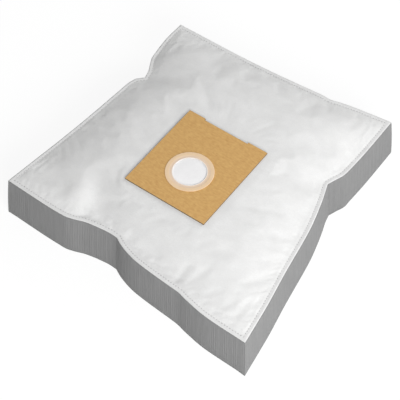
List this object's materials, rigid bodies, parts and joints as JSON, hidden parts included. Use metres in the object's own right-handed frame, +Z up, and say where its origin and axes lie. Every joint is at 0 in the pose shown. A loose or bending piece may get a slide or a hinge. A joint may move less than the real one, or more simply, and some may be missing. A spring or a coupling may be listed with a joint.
{
  "type": "vacuum dust bag",
  "caption": "Square fleece dust bag, opened out to a shallow pillow with a side band, a cardboard collar plate and a film seal round its inlet.",
  "frame": {"origin": "on the floor, under the middle of the base", "axes": "+Z up out of the collar plate, +X along the front edge, +Y from the inlet to the recessed edge of the plate"},
  "size_m": [0.31, 0.3164, 0.0666],
  "materials": {
    "white_fleece": "matte non-woven",
    "grey_fleece": "matte, fine upright ribs",
    "kraft_board": "matte",
    "seal_film": "milky, satin"
  },
  "bodies": {
    "root": {"front_panel": "white_fleece", "back_panel": "white_fleece", "side_band": "grey_fleece", "collar_plate": "kraft_board", "inlet_seal": "seal_film", "inlet_flap": "white_fleece"}
  },
  "joints": []
}
